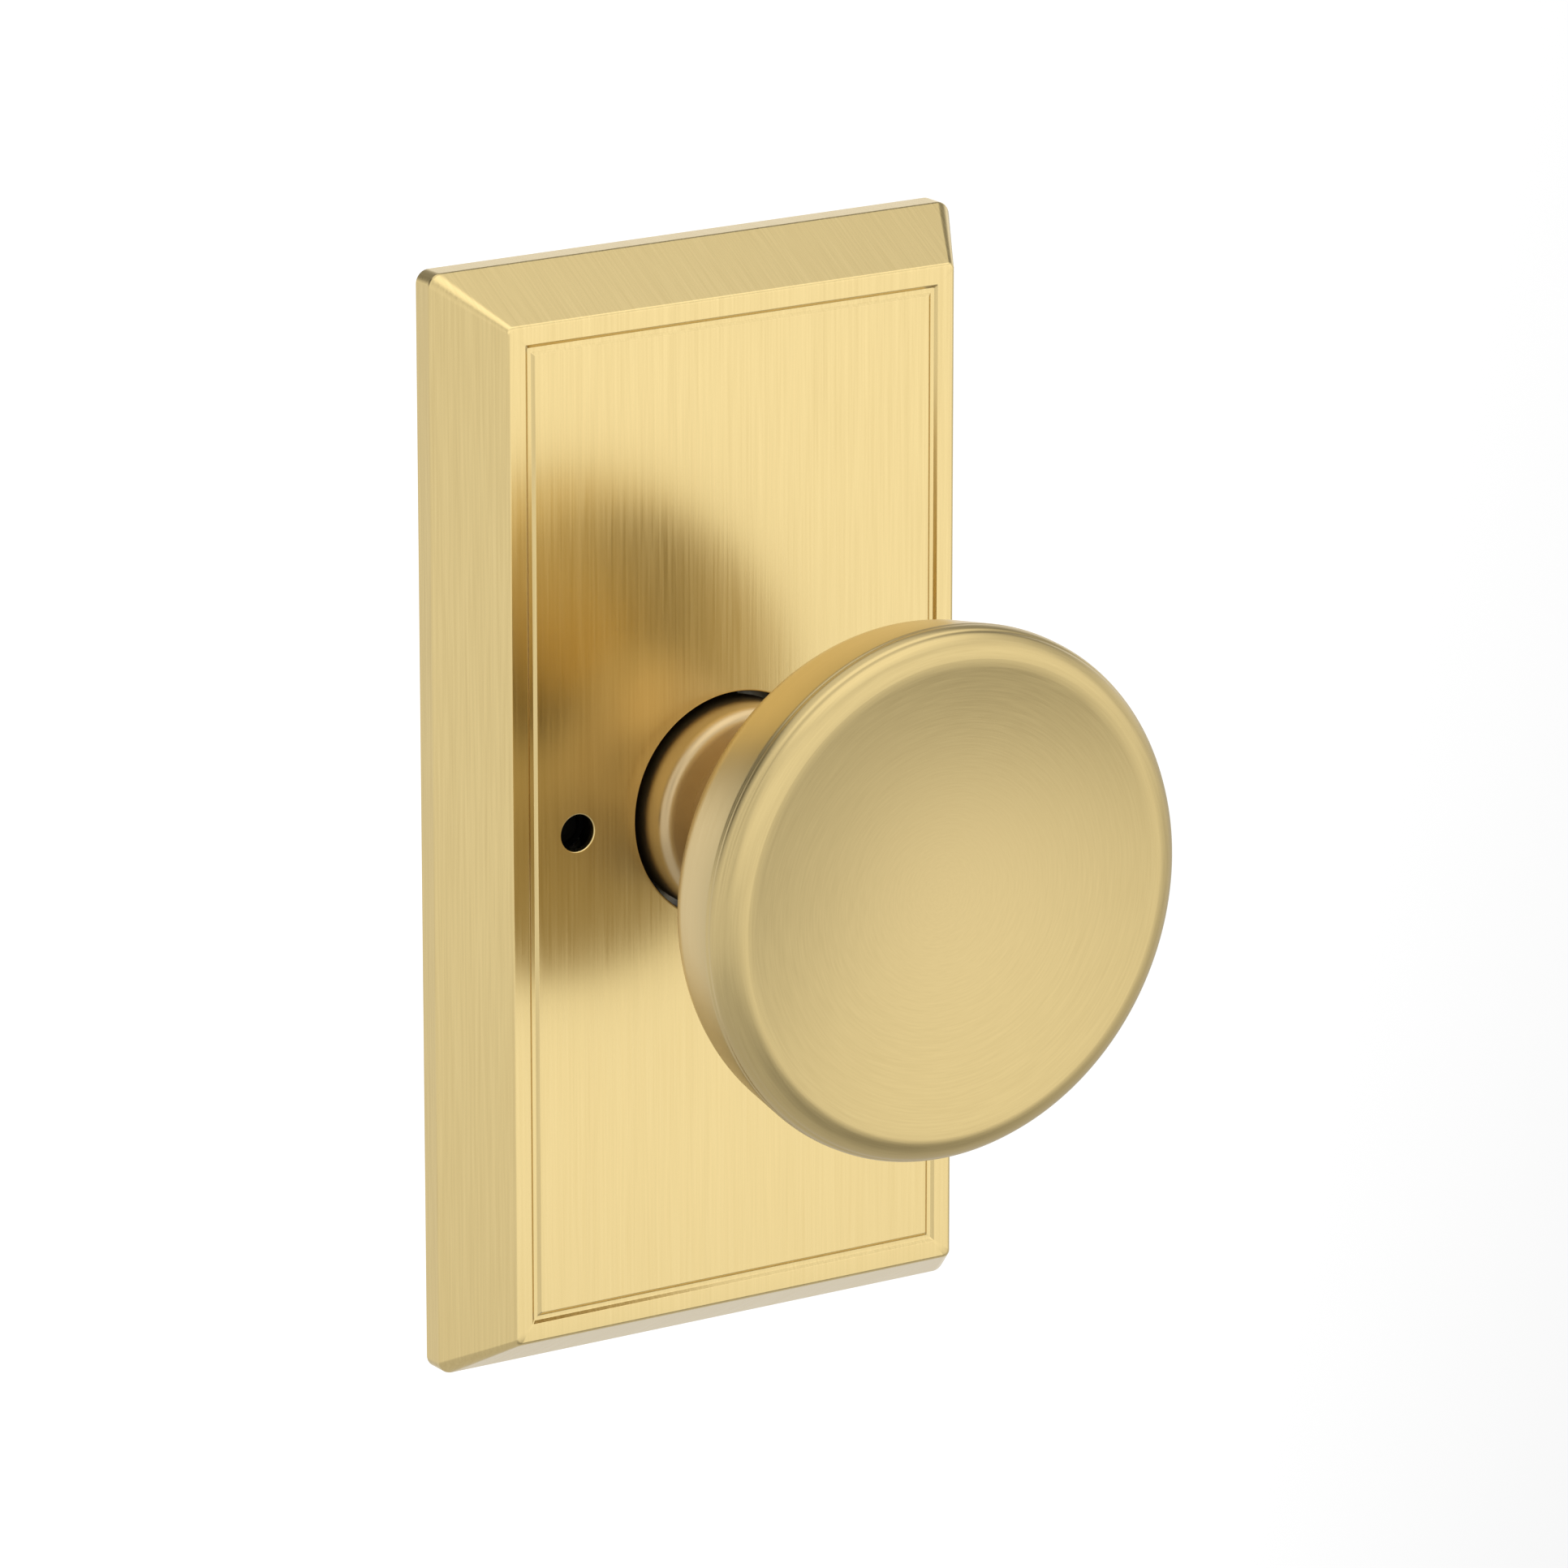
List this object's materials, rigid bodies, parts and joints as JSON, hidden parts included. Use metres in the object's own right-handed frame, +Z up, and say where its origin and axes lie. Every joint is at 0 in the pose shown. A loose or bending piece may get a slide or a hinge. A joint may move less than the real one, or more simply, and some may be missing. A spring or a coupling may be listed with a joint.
{
  "type": "door knob",
  "caption": "Round door knob with a shallow dished face on a tall bevelled plate with a spring cage, spindle, threaded posts and a pin-release plunger.",
  "frame": {"origin": "on the spindle's axis, in the plane of the door's face that the plate lies against", "axes": "+Z up the door, +Y into the door, -Y out to the hand along the knob's axis, +X to the right as seen by the user"},
  "size_m": [0.07, 0.102, 0.13],
  "materials": {
    "brushed_brass_plate": "satin, brushed up and down, clear lacquer",
    "brushed_brass_knob": "satin, brushed in circles round the axis, clear lacquer",
    "black_moulding": "fine moulded grain",
    "zinc_steel": "zinc plated pressed steel",
    "plain_steel": "turned, lightly oiled",
    "spring_steel": "tempered spring steel",
    "black_oxide": "blackened turned steel",
    "oiled_bronze": "sintered bronze, oiled"
  },
  "bodies": {
    "rose": {"escutcheon_plate": "brushed_brass_plate", "backing_frame": "black_moulding", "plate_clip_right_upper": "spring_steel", "plate_clip_left_upper": "spring_steel", "plate_clip_left_lower": "spring_steel", "plate_clip_right_lower": "spring_steel", "mounting_plate": "zinc_steel", "threaded_post_upper": "zinc_steel", "threaded_post_lower": "zinc_steel", "spring_cage": "zinc_steel", "cage_screw_1": "zinc_steel", "cage_screw_2": "zinc_steel", "cage_screw_3": "zinc_steel", "cage_screw_4": "zinc_steel", "hub_bushing": "oiled_bronze", "return_spring": "spring_steel", "release_guide": "oiled_bronze"},
    "knob": {"knob_shell": "brushed_brass_knob", "neck_collar": "brushed_brass_knob", "shank_tube": "plain_steel", "knob_spider": "zinc_steel", "spindle_bar": "zinc_steel", "spindle_pin": "plain_steel", "drive_cam": "plain_steel", "thrust_washer": "oiled_bronze", "retaining_ring": "spring_steel"},
    "release_plunger": {"release_pin": "black_oxide", "release_pin_clip": "spring_steel", "release_spring": "spring_steel"}
  },
  "joints": [
    {"name": "knob_turn", "type": "hinge", "parent": "rose", "child": "knob", "pos_m": [0, 0, 0], "axis": [0, -1, 0], "range_deg": [-50, 50], "stiffness_Nm_per_rad": 0.4, "deforming": ["return_spring"]},
    {"name": "release_push", "type": "slide", "parent": "rose", "child": "release_plunger", "axis": [0, 1, 0], "range_m": [0, 0.004], "stiffness_N_per_m": 100, "springref_m": -0.004, "deforming": ["release_spring"]}
  ]
}
